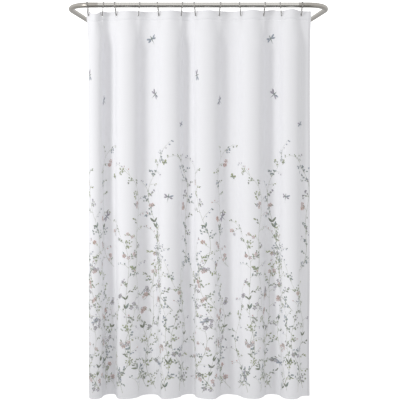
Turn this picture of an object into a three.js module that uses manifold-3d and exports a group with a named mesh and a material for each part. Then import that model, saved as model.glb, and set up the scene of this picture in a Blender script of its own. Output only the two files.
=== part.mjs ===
// A shower curtain hung from a U-shaped rod by wire hooks.
// Millimetres. X runs along the rod, Z is up. The wall is the plane y = 0, and the curtain's front faces -Y.
// The origin is on the wall, midway between the two flanges, at the height of the rod's axis.
import * as THREE from 'three';
import { mergeVertices } from 'three/addons/utils/BufferGeometryUtils.js';
import Module from 'manifold-3d';

// Rod
const ROD_DIA = 25.4;
const ROD_WALL = 1.2;
const ROD_HALF_WIDTH = 630;
const ROD_DEPTH = 1300;
const BEND_ALONG_X = 117;
const BEND_ALONG_Y = 340;
const BEND_STEPS = 10;
const TUBE_SIDES = 16;
const TUBE_JOINT_X = 470;
const JOINT_GAP = 0.3;
const ROUND_SIDES = 12;

// Sleeves inside the rod's two joints, and their set screws
const COUPLER_DIA = 22.3;
const COUPLER_BORE = 19.3;
const COUPLER_LENGTH = 76;
const SET_SCREW_DIA = 4;
const SET_SCREW_LENGTH = 4.4;
const SET_SCREW_SUNK = 0.4;
const SET_SCREW_HOLE_DIA = 4.7;
const SET_SCREW_HOLE_LENGTH = 8;
const SET_SCREW_HOLE_ABOVE = 1.5;
const SET_SCREW_FROM_JOINT = 20;
const SOCKET_WIDTH = 1.6;
const SOCKET_DEPTH = 1.5;

// Wall brackets and their covers
const BRACKET_DIA = 54;
const BRACKET_PLATE = 3.5;
const BRACKET_PLUG_DIA = 22.3;
const BRACKET_PLUG_LENGTH = 26;
const BRACKET_PLUG_CHAMFER = 1;
const BRACKET_SET_SCREW_Y = 15;
const WALL_SCREW_COUNT = 3;
const WALL_SCREW_CIRCLE_DIA = 40;
const WALL_SCREW_DIA = 4;
const WALL_SCREW_HEAD_DIA = 8;
const WALL_SCREW_HEAD_HEIGHT = 2.6;
const WALL_SCREW_HEAD_CHAMFER = 1.5;
const WALL_SCREW_POINT = 4;
const WALL_SCREW_LENGTH = 25;
const WALL_SCREW_CLEARANCE = 0.4;
const COVER_DIA = 64;
const COVER_WALL = 1.2;
const COVER_DEPTH = 24;
const COVER_NECK_DIA = 26.4;
const COVER_LIP = 3;
const COVER_STEPS = 5;
const COVER_SIDES = 22;

// Hooks, in order from the left one
const HOOK_WIRE_DIA = 4;
const HOOK_WIRE_SIDES = 6;
const HOOK_LOOP_RADIUS = 18;
const HOOK_CLEARANCE = 0.7;
const HOOK_TOE_RADIUS = 6.4;
const HOOK_BOTTOM_Z = -52.4;
const HOOK_SNAP_GAP = 3;
const HOOK_TURN_DEG = 13;
const HOOK_STEPS = 24;
const FIRST_HOOK_X = -517;
const HOOK_GAPS = [71, 59, 110, 89, 111, 61, 117, 95, 113, 77, 98];

// Curtain
const HOLE_SPACING = 152.4;
const END_MARGIN = 50.8;
const CURTAIN_HEIGHT = 1829;
const TOP_EDGE_Z = -28;
const HOLE_WIDTH = 9;
const HOLE_HEIGHT = 15;
const HOLE_REACH = 21;
const HOLE_BELOW_HOOK = 1;
const CLOTH_THICKNESS = 0.5;
const BAND_THICKNESS = 0.4;
const BAND_GAP = 0.35;
const HEADER_HEIGHT = 45;
const BOTTOM_HEM_HEIGHT = 25;
const SIDE_HEM_WIDTH = 12;
const EDGE_INSET = 1;
const FOLD_STEPS = 10;
const TAIL_STEPS = 4;
const LEFT_TAIL_TURN_DEG = 104;
const RIGHT_TAIL_END = new THREE.Vector2(48, 15);

const rodRadius = ROD_DIA / 2;
const boreRadius = rodRadius - ROD_WALL;
const wireRadius = HOOK_WIRE_DIA / 2;
const straightHalf = ROD_HALF_WIDTH - BEND_ALONG_X;

const nickel = { color: 0xb9b8b3, roughness: 0.32, metalness: 1 };
const nickelCover = { color: 0xb4b3ae, roughness: 0.3, metalness: 1 };
const chromeWire = { color: 0xc8c8c8, roughness: 0.2, metalness: 1 };
const zinc = { color: 0x9a9da1, roughness: 0.5, metalness: 1 };
const screwSteel = { color: 0x8d9094, roughness: 0.4, metalness: 1 };
const sleeveSteel = { color: 0xa3a5a8, roughness: 0.45, metalness: 1 };
const whiteCloth = { color: 0xf2f2f5, roughness: 0.8, metalness: 0 };
const clothTape = { color: 0xe9e9ec, roughness: 0.85, metalness: 0 };

const wasm = await Module();
wasm.setup();

const part = new THREE.Group();

function addMesh(name, geometry, look) {
  const mesh = new THREE.Mesh(geometry, new THREE.MeshStandardMaterial(look));
  mesh.name = name;
  part.add(mesh);
  return mesh;
}

// Solids for cutting and joining

function toSolid(geometry) {
  const bare = geometry.clone();
  bare.deleteAttribute('normal');
  bare.deleteAttribute('uv');
  const merged = mergeVertices(bare, 1e-4);
  const vertProperties = new Float32Array(merged.attributes.position.array);
  const triVerts = new Uint32Array(merged.index.array);
  return new wasm.Manifold(new wasm.Mesh({ numProp: 3, vertProperties, triVerts }));
}

function toGeometry(solid) {
  const mesh = solid.getMesh();
  const geometry = new THREE.BufferGeometry();
  geometry.setAttribute('position', new THREE.BufferAttribute(mesh.vertProperties, 3));
  geometry.setIndex(new THREE.BufferAttribute(mesh.triVerts, 1));
  return geometry;
}

function cut(geometry, cutters) {
  let solid = toSolid(geometry);
  for (const cutter of cutters) solid = solid.subtract(toSolid(cutter));
  return toGeometry(solid);
}

function circlePoints(radius, sides) {
  const points = [];
  for (let i = 0; i < sides; i += 1) {
    const angle = (2 * Math.PI * (i + 0.5)) / sides;
    points.push(new THREE.Vector2(radius * Math.cos(angle), radius * Math.sin(angle)));
  }
  return points;
}

function annulus(outerRadius, innerRadius, sides) {
  const shape = new THREE.Shape(circlePoints(outerRadius, sides));
  shape.holes.push(new THREE.Path(circlePoints(innerRadius, sides)));
  return shape;
}

// A round bar along `axis` ('y' or 'z'), centred on a point
function bar(radius, length, axis, x, y, z, sides = ROUND_SIDES) {
  const geometry = new THREE.CylinderGeometry(radius, radius, length, sides);
  if (axis === 'z') geometry.rotateX(Math.PI / 2);
  geometry.translate(x, y, z);
  return geometry;
}

// Rod

// A path whose steps are spaced by its own parameter, so that the bends take most of them
class SteppedPath extends THREE.Curve {
  getPointAt(t, target) {
    return this.getPoint(t, target);
  }

  getTangentAt(t, target) {
    return this.getTangent(t, target);
  }
}

// From the joint in the front run, round the corner and straight back to the wall. side is -1 or 1.
class ReturnPath extends SteppedPath {
  constructor(side) {
    super();
    this.side = side;
    this.steps = BEND_STEPS + 2;
  }

  getPoint(t, target = new THREE.Vector3()) {
    const step = t * this.steps;
    const front = -ROD_DEPTH;
    const start = TUBE_JOINT_X + JOINT_GAP;
    const wallEnd = -BRACKET_PLATE - JOINT_GAP;
    if (step <= 1) {
      const x = THREE.MathUtils.lerp(start, straightHalf, step);
      return target.set(this.side * x, front, 0);
    }
    if (step <= this.steps - 1) {
      const angle = ((step - 1) / BEND_STEPS) * (Math.PI / 2);
      const x = straightHalf + BEND_ALONG_X * Math.sin(angle);
      const y = front + BEND_ALONG_Y * (1 - Math.cos(angle));
      return target.set(this.side * x, y, 0);
    }
    const y = THREE.MathUtils.lerp(front + BEND_ALONG_Y, wallEnd, step - (this.steps - 1));
    return target.set(this.side * ROD_HALF_WIDTH, y, 0);
  }
}

function underScrewHole(x, y) {
  const z = -rodRadius + SET_SCREW_HOLE_ABOVE;
  return bar(SET_SCREW_HOLE_DIA / 2, SET_SCREW_HOLE_LENGTH, 'z', x, y, z, TUBE_SIDES);
}

function rodFront() {
  const length = 2 * TUBE_JOINT_X;
  const tube = new THREE.ExtrudeGeometry(annulus(rodRadius, boreRadius, TUBE_SIDES), {
    depth: length,
    bevelEnabled: false,
  });
  tube.rotateY(Math.PI / 2);
  tube.translate(-length / 2, -ROD_DEPTH, 0);
  const screwX = TUBE_JOINT_X - SET_SCREW_FROM_JOINT;
  return cut(tube, [underScrewHole(-screwX, -ROD_DEPTH), underScrewHole(screwX, -ROD_DEPTH)]);
}

function rodReturn(side) {
  const path = new ReturnPath(side);
  const tube = new THREE.ExtrudeGeometry(annulus(rodRadius, boreRadius, TUBE_SIDES), {
    steps: path.steps,
    extrudePath: path,
  });
  const frontScrew = underScrewHole(side * (TUBE_JOINT_X + SET_SCREW_FROM_JOINT), -ROD_DEPTH);
  const wallScrew = underScrewHole(side * ROD_HALF_WIDTH, -BRACKET_SET_SCREW_Y);
  return cut(tube, [frontScrew, wallScrew]);
}

function coupler(side) {
  const sleeve = new THREE.ExtrudeGeometry(annulus(COUPLER_DIA / 2, COUPLER_BORE / 2, TUBE_SIDES), {
    depth: COUPLER_LENGTH,
    bevelEnabled: false,
  });
  sleeve.rotateY(Math.PI / 2);
  sleeve.translate(side * TUBE_JOINT_X - COUPLER_LENGTH / 2, -ROD_DEPTH, 0);
  const holes = [-1, 1].map((way) => underScrewHole(
    side * TUBE_JOINT_X + way * SET_SCREW_FROM_JOINT,
    -ROD_DEPTH,
  ));
  return cut(sleeve, holes);
}

// A headless screw standing in the underside of the tube, flush with it, with a square socket
function setScrew(x, y) {
  const bottom = -rodRadius + SET_SCREW_SUNK;
  const body = bar(SET_SCREW_DIA / 2, SET_SCREW_LENGTH, 'z', x, y, bottom + SET_SCREW_LENGTH / 2);
  const socket = new THREE.BoxGeometry(SOCKET_WIDTH, SOCKET_WIDTH, 2 * SOCKET_DEPTH);
  socket.translate(x, y, bottom);
  return cut(body, [socket]);
}

// Wall fittings. Lathe profiles are drawn about +Y and stand on the wall, facing -Y.

function latheFromWall(profile, x, sides) {
  const points = profile.map(([radius, height]) => new THREE.Vector2(radius, height));
  const geometry = new THREE.LatheGeometry(points, sides);
  geometry.rotateX(Math.PI);
  geometry.translate(x, 0, 0);
  return geometry;
}

function screwCircle(x) {
  const places = [];
  for (let i = 0; i < WALL_SCREW_COUNT; i += 1) {
    const angle = Math.PI / 2 + (2 * Math.PI * i) / WALL_SCREW_COUNT;
    const radius = WALL_SCREW_CIRCLE_DIA / 2;
    places.push([x + radius * Math.cos(angle), radius * Math.sin(angle)]);
  }
  return places;
}

function wallBracket(x) {
  const plateRadius = BRACKET_DIA / 2;
  const plugRadius = BRACKET_PLUG_DIA / 2;
  const plugTop = BRACKET_PLATE + BRACKET_PLUG_LENGTH;
  const profile = [
    [0, 0],
    [plateRadius, 0],
    [plateRadius, BRACKET_PLATE],
    [plugRadius, BRACKET_PLATE],
    [plugRadius, plugTop - BRACKET_PLUG_CHAMFER],
    [plugRadius - BRACKET_PLUG_CHAMFER, plugTop],
    [0, plugTop],
  ];
  const holeRadius = WALL_SCREW_DIA / 2 + WALL_SCREW_CLEARANCE;
  const holeLength = 3 * BRACKET_PLATE;
  const holes = screwCircle(x).map(([holeX, z]) => bar(holeRadius, holeLength, 'y', holeX, 0, z));
  holes.push(underScrewHole(x, -BRACKET_SET_SCREW_Y));
  return cut(latheFromWall(profile, x, TUBE_SIDES), holes);
}

function wallScrew(x, z) {
  const headRadius = WALL_SCREW_HEAD_DIA / 2;
  const shankRadius = WALL_SCREW_DIA / 2;
  const seat = BRACKET_PLATE + JOINT_GAP;
  const tip = BRACKET_PLATE - WALL_SCREW_LENGTH;
  const profile = [
    [0, tip],
    [shankRadius, tip + WALL_SCREW_POINT],
    [shankRadius, seat],
    [headRadius, seat],
    [headRadius, seat + WALL_SCREW_HEAD_HEIGHT / 2],
    [headRadius - WALL_SCREW_HEAD_CHAMFER, seat + WALL_SCREW_HEAD_HEIGHT],
    [0, seat + WALL_SCREW_HEAD_HEIGHT],
  ];
  const screw = latheFromWall(profile, x, ROUND_SIDES);
  screw.translate(0, 0, z);
  return screw;
}

// A domed shell with an open back and a neck that slides along the tube
function flangeCover(x) {
  const rim = COVER_DIA / 2;
  const neck = COVER_NECK_DIA / 2;
  const rise = COVER_DEPTH - COVER_LIP;
  const profile = [[rim, 0], [rim, COVER_LIP]];
  for (let i = 1; i <= COVER_STEPS; i += 1) {
    const angle = (i / COVER_STEPS) * (Math.PI / 2);
    const radius = neck + COVER_WALL + (rim - neck - COVER_WALL) * Math.cos(angle);
    profile.push([radius, COVER_LIP + rise * Math.sin(angle)]);
  }
  profile.push([neck, COVER_DEPTH]);
  profile.push([neck, COVER_DEPTH - COVER_WALL]);
  for (let i = COVER_STEPS - 1; i >= 0; i -= 1) {
    const angle = (i / COVER_STEPS) * (Math.PI / 2);
    const radius = neck + COVER_WALL + (rim - neck - 2 * COVER_WALL) * Math.cos(angle);
    profile.push([radius, COVER_LIP + (rise - COVER_WALL) * Math.sin(angle)]);
  }
  profile.push([rim - COVER_WALL, 0]);
  profile.push([rim, 0]);
  return latheFromWall(profile, x, COVER_SIDES);
}

// Hooks

// A pear of wire in its own YZ plane, round the rod at the top and open by a snap gap at the back
class HookPath extends SteppedPath {
  constructor() {
    super();
    const loopTop = rodRadius + HOOK_CLEARANCE + wireRadius;
    this.loopZ = loopTop - HOOK_LOOP_RADIUS;
    this.toeZ = HOOK_BOTTOM_Z + wireRadius + HOOK_TOE_RADIUS;
    const lean = Math.asin((HOOK_LOOP_RADIUS - HOOK_TOE_RADIUS) / (this.loopZ - this.toeZ));
    this.lean = lean;
    this.legLength = (this.loopZ - this.toeZ) * Math.cos(lean);
    this.loopArc = HOOK_LOOP_RADIUS * (Math.PI + 2 * lean);
    this.toeArc = HOOK_TOE_RADIUS * (Math.PI - 2 * lean);
    this.wireLength = this.loopArc + this.toeArc + 2 * this.legLength - HOOK_SNAP_GAP;
  }

  // Along the wire from its upper end at the back: over the rod, down the front, up the back leg
  getPoint(t, target = new THREE.Vector3()) {
    let s = t * this.wireLength;
    if (s <= this.loopArc) {
      const angle = -this.lean + s / HOOK_LOOP_RADIUS;
      return target.set(
        0,
        HOOK_LOOP_RADIUS * Math.cos(angle),
        this.loopZ + HOOK_LOOP_RADIUS * Math.sin(angle),
      );
    }
    s -= this.loopArc;
    const front = Math.PI + this.lean;
    const along = new THREE.Vector2(-Math.sin(front), Math.cos(front));
    if (s <= this.legLength) {
      return target.set(
        0,
        HOOK_LOOP_RADIUS * Math.cos(front) + s * along.x,
        this.loopZ + HOOK_LOOP_RADIUS * Math.sin(front) + s * along.y,
      );
    }
    s -= this.legLength;
    if (s <= this.toeArc) {
      const angle = front + s / HOOK_TOE_RADIUS;
      return target.set(
        0,
        HOOK_TOE_RADIUS * Math.cos(angle),
        this.toeZ + HOOK_TOE_RADIUS * Math.sin(angle),
      );
    }
    s -= this.toeArc;
    return target.set(
      0,
      HOOK_TOE_RADIUS * Math.cos(this.lean) + s * Math.sin(this.lean),
      this.toeZ - HOOK_TOE_RADIUS * Math.sin(this.lean) + s * Math.cos(this.lean),
    );
  }
}

function hookShape() {
  return new THREE.ExtrudeGeometry(new THREE.Shape(circlePoints(wireRadius, HOOK_WIRE_SIDES)), {
    steps: HOOK_STEPS,
    extrudePath: new HookPath(),
  });
}

function hookPositions() {
  const positions = [FIRST_HOOK_X];
  for (const gap of HOOK_GAPS) positions.push(positions[positions.length - 1] + gap);
  return positions;
}

// Each hook turns to cross the cloth, which comes forward at every odd hook and goes back at every even one
function hookTurn(index) {
  return THREE.MathUtils.degToRad(index % 2 === 0 ? -HOOK_TURN_DEG : HOOK_TURN_DEG);
}

// Curtain

// Height of a half-sine fold whose cloth measures HOLE_SPACING between two hooks `gap` apart
function foldHeight(gap) {
  const clothLength = (height) => {
    let length = 0;
    let previousY = 0;
    for (let i = 1; i <= FOLD_STEPS; i += 1) {
      const y = height * Math.sin((Math.PI * i) / FOLD_STEPS);
      length += Math.hypot(gap / FOLD_STEPS, y - previousY);
      previousY = y;
    }
    return length;
  };
  let low = 0;
  let high = HOLE_SPACING;
  while (high - low > 0.01) {
    const middle = (low + high) / 2;
    if (clothLength(middle) < HOLE_SPACING) low = middle;
    else high = middle;
  }
  return low;
}

// The cloth's line seen from above, from its left edge to its right edge
function clothLine() {
  const hooks = hookPositions();
  const leftTurn = THREE.MathUtils.degToRad(LEFT_TAIL_TURN_DEG);
  const points = [];
  for (let i = TAIL_STEPS; i > 0; i -= 1) {
    const s = (END_MARGIN * i) / TAIL_STEPS;
    points.push(new THREE.Vector2(hooks[0] + s * Math.cos(leftTurn), s * Math.sin(leftTurn)));
  }
  HOOK_GAPS.forEach((gap, index) => {
    const way = index % 2 === 0 ? -1 : 1;
    const height = foldHeight(gap);
    for (let i = 0; i < FOLD_STEPS; i += 1) {
      const share = i / FOLD_STEPS;
      const y = way * height * Math.sin(Math.PI * share);
      points.push(new THREE.Vector2(hooks[index] + gap * share, y));
    }
  });
  const lastHook = hooks[hooks.length - 1];
  for (let i = 0; i <= TAIL_STEPS; i += 1) {
    const share = i / TAIL_STEPS;
    const y = RIGHT_TAIL_END.y * Math.sin((Math.PI / 2) * share);
    points.push(new THREE.Vector2(lastHook + RIGHT_TAIL_END.x * share, y));
  }
  return balanced(points);
}

// Moves the line forward or back, so that the cloth's weight hangs straight below the rod
function balanced(points) {
  let length = 0;
  let moment = 0;
  for (let i = 1; i < points.length; i += 1) {
    const piece = points[i].distanceTo(points[i - 1]);
    length += piece;
    moment += (piece * (points[i].y + points[i - 1].y)) / 2;
  }
  return points.map((point) => new THREE.Vector2(point.x, point.y - moment / length));
}

// The line's left-hand normal at a point, which is the back of the cloth
function backward(points, i) {
  const before = points[Math.max(i - 1, 0)];
  const after = points[Math.min(i + 1, points.length - 1)];
  const along = after.clone().sub(before).normalize();
  return new THREE.Vector2(-along.y, along.x);
}

function offsetLine(points, distance) {
  return points.map((point, i) => point.clone().addScaledVector(backward(points, i), distance));
}

// Cloth of a thickness, standing along a line between two heights. back is its distance behind the line.
function clothStrip(points, back, thickness, lowZ, highZ) {
  const front = offsetLine(points, back);
  const rear = offsetLine(points, back + thickness);
  const shape = new THREE.Shape([...front, ...rear.reverse()]);
  const geometry = new THREE.ExtrudeGeometry(shape, { depth: highZ - lowZ, bevelEnabled: false });
  geometry.translate(0, -ROD_DEPTH, lowZ);
  return geometry;
}

function hookHoles() {
  const holeZ = HOOK_BOTTOM_Z - HOLE_BELOW_HOOK + HOLE_HEIGHT / 2;
  return hookPositions().map((x, index) => {
    const hole = new THREE.BoxGeometry(HOLE_WIDTH, HOLE_REACH, HOLE_HEIGHT);
    hole.translate(0, 0, holeZ);
    hole.rotateZ(hookTurn(index));
    hole.translate(x, -ROD_DEPTH, 0);
    return hole;
  });
}

// The part of a line within a length of its start
function lineStart(points, length) {
  const kept = [points[0]];
  let left = length;
  for (let i = 1; i < points.length; i += 1) {
    const piece = points[i].distanceTo(points[i - 1]);
    if (piece >= left) {
      kept.push(points[i - 1].clone().lerp(points[i], left / piece));
      return kept;
    }
    kept.push(points[i]);
    left -= piece;
  }
  return kept;
}

function addCurtain() {
  const line = clothLine();
  const topZ = TOP_EDGE_Z;
  const bottomZ = TOP_EDGE_Z - CURTAIN_HEIGHT;
  const bandBack = CLOTH_THICKNESS / 2 + BAND_GAP;
  const panel = clothStrip(line, -CLOTH_THICKNESS / 2, CLOTH_THICKNESS, bottomZ, topZ);
  const headerBottom = topZ - HEADER_HEIGHT;
  const hemTop = bottomZ + BOTTOM_HEM_HEIGHT;
  const band = (points, lowZ, highZ) => clothStrip(points, bandBack, BAND_THICKNESS, lowZ, highZ);
  const header = band(line, headerBottom, topZ - EDGE_INSET);
  const bottomHem = band(line, bottomZ + EDGE_INSET, hemTop);
  const leftLine = lineStart(line, SIDE_HEM_WIDTH);
  const rightLine = lineStart([...line].reverse(), SIDE_HEM_WIDTH).reverse();
  const leftHem = band(leftLine, hemTop + EDGE_INSET, headerBottom - EDGE_INSET);
  const rightHem = band(rightLine, hemTop + EDGE_INSET, headerBottom - EDGE_INSET);

  addMesh('curtain_panel', cut(panel, hookHoles()), whiteCloth);
  addMesh('header_tape', cut(header, hookHoles()), clothTape);
  addMesh('bottom_hem', bottomHem, whiteCloth);
  addMesh('side_hem_left', leftHem, whiteCloth);
  addMesh('side_hem_right', rightHem, whiteCloth);
}

function addHooks() {
  hookPositions().forEach((x, index) => {
    const hook = addMesh(`hook_${String(index + 1).padStart(2, '0')}`, hookShape(), chromeWire);
    hook.position.set(x, -ROD_DEPTH, 0);
    hook.rotation.z = hookTurn(index);
  });
}

function addRod() {
  addMesh('rod_front', rodFront(), nickel);
  for (const [side, name] of [[-1, 'left'], [1, 'right']]) {
    const wallX = side * ROD_HALF_WIDTH;
    const jointX = side * TUBE_JOINT_X;
    addMesh(`rod_return_${name}`, rodReturn(side), nickel);
    addMesh(`rod_coupler_${name}`, coupler(side), sleeveSteel);
    for (const [way, place] of [[-1, 'front'], [1, 'return']]) {
      const screwX = jointX + side * way * SET_SCREW_FROM_JOINT;
      addMesh(`coupler_screw_${place}_${name}`, setScrew(screwX, -ROD_DEPTH), screwSteel);
    }
    addMesh(`wall_bracket_${name}`, wallBracket(wallX), zinc);
    addMesh(`bracket_screw_${name}`, setScrew(wallX, -BRACKET_SET_SCREW_Y), screwSteel);
    addMesh(`flange_cover_${name}`, flangeCover(wallX), nickelCover);
    screwCircle(wallX).forEach(([x, z], index) => {
      addMesh(`wall_screw_${name}_${index + 1}`, wallScrew(x, z), screwSteel);
    });
  }
}

addRod();
addHooks();
addCurtain();

export default part;
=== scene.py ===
import math
import random

import bpy
import numpy as np
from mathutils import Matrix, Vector


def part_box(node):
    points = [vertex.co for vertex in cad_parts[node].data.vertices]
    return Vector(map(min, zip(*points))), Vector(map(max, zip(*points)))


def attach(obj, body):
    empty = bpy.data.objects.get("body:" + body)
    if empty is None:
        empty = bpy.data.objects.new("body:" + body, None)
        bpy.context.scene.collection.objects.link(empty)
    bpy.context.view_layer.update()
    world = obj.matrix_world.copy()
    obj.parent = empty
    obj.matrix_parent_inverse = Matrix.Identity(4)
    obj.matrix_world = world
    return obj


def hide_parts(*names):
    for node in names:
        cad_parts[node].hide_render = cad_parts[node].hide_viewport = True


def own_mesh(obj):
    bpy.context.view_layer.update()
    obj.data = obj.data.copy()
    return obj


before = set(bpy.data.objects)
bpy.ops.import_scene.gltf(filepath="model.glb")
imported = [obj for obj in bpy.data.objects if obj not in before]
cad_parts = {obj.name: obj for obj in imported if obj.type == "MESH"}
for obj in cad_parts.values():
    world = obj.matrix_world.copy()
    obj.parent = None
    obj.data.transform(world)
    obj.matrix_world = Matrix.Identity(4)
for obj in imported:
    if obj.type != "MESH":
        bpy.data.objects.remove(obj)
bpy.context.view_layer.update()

# A shower curtain on a U-shaped rod. Metres, x along the rod, z up, the wall at y = 0, the front faces -y.

print("frame loaded with", len(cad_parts), "nodes")


# Camera and key light

studio = {
    "cameraPlace": (0.0079, -6.1, -0.4056),
    "lens": 91.9,
    "tiltDown": 2.92,
    "shiftUp": -0.14,
    "floorBelow": 0.14,
    "skyLow": 0.56,
    "skyMiddle": 0.92,
    "skyHigh": 0.80,
    "keyPlace": (-3.2, -3.9, -0.25),
    "keyAim": (0.05, -1.3, -0.35),
    "keySize": 0.5,
    "keyCone": 45,
    "keyBlend": 0.52,
    "keyPower": 232,
    "cardPlace": (0, -5.2, -3.0),
    "cardSize": 7.0,
}


def aimed(place, target):
    return (Vector(target) - Vector(place)).to_track_quat("-Z", "Y").to_euler()


def addCamera():
    turn = (math.radians(90 - studio["tiltDown"]), 0, 0)
    bpy.ops.object.camera_add(location=studio["cameraPlace"], rotation=turn)
    camera = bpy.context.object
    camera.data.lens = studio["lens"]
    camera.data.shift_y = studio["shiftUp"]
    camera.data.clip_end = 200
    bpy.context.scene.camera = camera


def addKeyLight():
    place = studio["keyPlace"]
    bpy.ops.object.light_add(type="SPOT", location=place, rotation=aimed(place, studio["keyAim"]))
    light = bpy.context.object.data
    light.shadow_soft_size = studio["keySize"]
    light.spot_size = math.radians(studio["keyCone"])
    light.spot_blend = studio["keyBlend"]
    light.energy = studio["keyPower"]


# A shader socket that can be used in arithmetic. Each step adds a Math node.
class Wire:
    def __init__(self, finish, socket):
        self.finish = finish
        self.socket = socket

    def step(self, operation, *values):
        inputs = dict(enumerate(values))
        return self.finish.node("Math", {"operation": operation}, inputs)

    def __add__(self, other):
        return self.step("ADD", self, other)

    def __sub__(self, other):
        return self.step("SUBTRACT", self, other)

    def __mul__(self, other):
        return self.step("MULTIPLY", self, other)

    def __lt__(self, other):
        return self.step("LESS_THAN", self, other)

    def __gt__(self, other):
        return self.step("GREATER_THAN", self, other)

    def __rsub__(self, other):
        return self.step("SUBTRACT", other, self)

    __radd__ = __add__
    __rmul__ = __mul__

    def sine(self):
        return self.step("SINE", self)


class Finish:
    def __init__(self, name, **constants):
        self.material = bpy.data.materials.new(name)
        self.material.use_nodes = True
        self.tree = self.material.node_tree
        self.shader = self.tree.nodes["Principled BSDF"]
        for socket, value in constants.items():
            self.shader.inputs[socket.replace("_", " ")].default_value = value

    # Adds any node: settings are made first, then each input gets a value or a link
    def node(self, kind, settings=None, inputs=None, out=0):
        made = self.tree.nodes.new("ShaderNode" + kind)
        for key, value in (settings or {}).items():
            if key == "stops":
                setStops(made.color_ramp, value)
            else:
                setattr(made, key, value)
        for key, value in (inputs or {}).items():
            self.feed(made.inputs[key], value)
        return Wire(self, made.outputs[out])

    def feed(self, socket, value):
        if isinstance(value, Wire):
            self.tree.links.new(value.socket, socket)
        else:
            socket.default_value = value

    def wear(self, **values):
        for socket, value in values.items():
            self.feed(self.shader.inputs[socket.replace("_", " ")], value)

    def place(self):
        return self.node("TexCoord", out="Object")

    def flat(self):
        return self.node("UVMap", {"uv_map": "flatCloth"})

    def stretched(self, place, scale):
        return self.node("Mapping", None, {"Vector": place, "Scale": scale})

    def noise(self, place, scale, detail=3.0, roughness=0.5):
        inputs = {"Vector": place, "Scale": scale, "Detail": detail, "Roughness": roughness}
        return self.node("TexNoise", None, inputs)

    def mixed(self, factor, first, second, blend="MIX"):
        settings = {"data_type": "RGBA", "blend_type": blend}
        return self.node("Mix", settings, {0: factor, 6: first, 7: second}, out=2)

    def between(self, value, low, high):
        return self.node("MapRange", None, {"Value": value, "To Min": low, "To Max": high})

    def bump(self, height, distance, strength=1.0):
        inputs = {"Height": height, "Distance": distance, "Strength": strength}
        return self.node("Bump", None, inputs)


def setStops(ramp, stops):
    while len(ramp.elements) < len(stops):
        ramp.elements.new(0.5)
    for element, (position, colour) in zip(ramp.elements, stops):
        element.position = position
        element.color = colour


# A colour as it looks on screen, 0 to 255, made linear
def paint(red, green, blue):
    def linear(value):
        value = value / 255
        return value / 12.92 if value <= 0.04045 else ((value + 0.055) / 1.055) ** 2.4
    return (linear(red), linear(green), linear(blue), 1.0)


# Woven cloth: yarns both ways, faint clouds and a fine weave
def clothFinish(name, tint, thread, rough):
    finish = Finish(name, Sheen_Weight=0.12, Sheen_Roughness=0.6, Specular_IOR_Level=0.3)
    flat = finish.flat()
    metres = finish.stretched(flat, (curtain["width"], curtain["height"], 1))
    yarnAcross = finish.noise(finish.stretched(metres, (9, 420, 1)), 1.0, 4)
    yarnDown = finish.noise(finish.stretched(metres, (420, 9, 1)), 1.0, 4)
    clouds = finish.noise(metres, 6.0, 3)
    parts = finish.node("SeparateXYZ", None, {"Vector": metres})
    turns = 2 * math.pi / thread
    down = finish.node("SeparateXYZ", None, {"Vector": metres}, out=1)
    weave = (parts * turns).sine() * (down * turns).sine()
    # The side hems are doubled, so less light comes through them: painted shade darkens their base colour
    hemPaintedShade = (parts < curtain["sideHem"]) + (parts > curtain["width"] - curtain["sideHem"])
    shade = finish.between(yarnAcross * 0.5 + yarnDown * 0.3 + clouds * 0.2, 0.955, 1.03)
    shade = shade * (1 - hemPaintedShade * 0.1)
    grey = finish.node("CombineColor", None, {0: shade, 1: shade, 2: shade})
    finish.wear(
        Base_Color=finish.mixed(1.0, tint, grey, "MULTIPLY"),
        Roughness=finish.between(yarnAcross, rough - 0.06, rough + 0.06),
        Normal=finish.bump(weave * 0.25 + yarnAcross + yarnDown, 0.00012, 0.6),
    )
    return finish.material


def threadFinish():
    finish = Finish("white_thread", Sheen_Weight=0.15)
    place = finish.place()
    ply = finish.noise(finish.stretched(place, (900, 900, 2200)), 1.0, 2)
    finish.wear(
        Base_Color=finish.mixed(ply, paint(214, 214, 216), paint(238, 238, 240)),
        Roughness=finish.between(ply, 0.5, 0.8),
        Normal=finish.bump(ply, 0.0001, 0.5),
    )
    return finish.material


# Ink soaked into cloth: the piece's own colours, cloudy like watercolour
def inkFinish():
    finish = Finish("printed_ink", Sheen_Weight=0.08, Specular_IOR_Level=0.3)
    ink = finish.node("Attribute", {"attribute_name": "ink"})
    place = finish.place()
    wash = finish.noise(place, 190.0, 4, 0.6)
    grain = finish.noise(place, 900.0, 2)
    paler = finish.mixed(finish.between(wash, 0.02, 0.42), ink, paint(236, 237, 236))
    finish.wear(
        Base_Color=finish.mixed(grain * 0.1, paler, paint(84, 88, 80)),
        Roughness=finish.between(grain, 0.76, 0.9),
        Normal=finish.bump(grain, 0.00005, 0.4),
    )
    return finish.material


# Brushed metal: fine rings round the tube, faint smudges, a rougher skin where the brush dug in
def brushedFinish(name, tint, dark, rough, rings):
    finish = Finish(name, Metallic=1.0)
    place = finish.place()
    brush = finish.noise(finish.stretched(place, rings), 1.0, 5, 0.7)
    smudge = finish.noise(place, 14.0, 4)
    finish.wear(
        Base_Color=finish.mixed(finish.between(brush * 0.6 + smudge * 0.4, 0.1, 0.9), dark, tint),
        Roughness=finish.between(brush * 0.7 + smudge * 0.3, rough - 0.08, rough + 0.12),
        Normal=finish.bump(brush, 0.00006, 0.35),
    )
    return finish.material


# Plain plated or cast metal with a mottled surface
def metalFinish(name, tint, dark, rough, grain):
    finish = Finish(name, Metallic=1.0)
    place = finish.place()
    mottle = finish.noise(place, grain, 5, 0.6)
    fine = finish.noise(place, grain * 9, 2)
    finish.wear(
        Base_Color=finish.mixed(mottle, dark, tint),
        Roughness=finish.between(mottle * 0.5 + fine * 0.5, rough - 0.08, rough + 0.1),
        Normal=finish.bump(fine, 0.00005, 0.3),
    )
    return finish.material


def deselect():
    if bpy.context.object and bpy.context.object.mode != "OBJECT":
        bpy.ops.object.mode_set(mode="OBJECT")
    bpy.ops.object.select_all(action="DESELECT")


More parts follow.
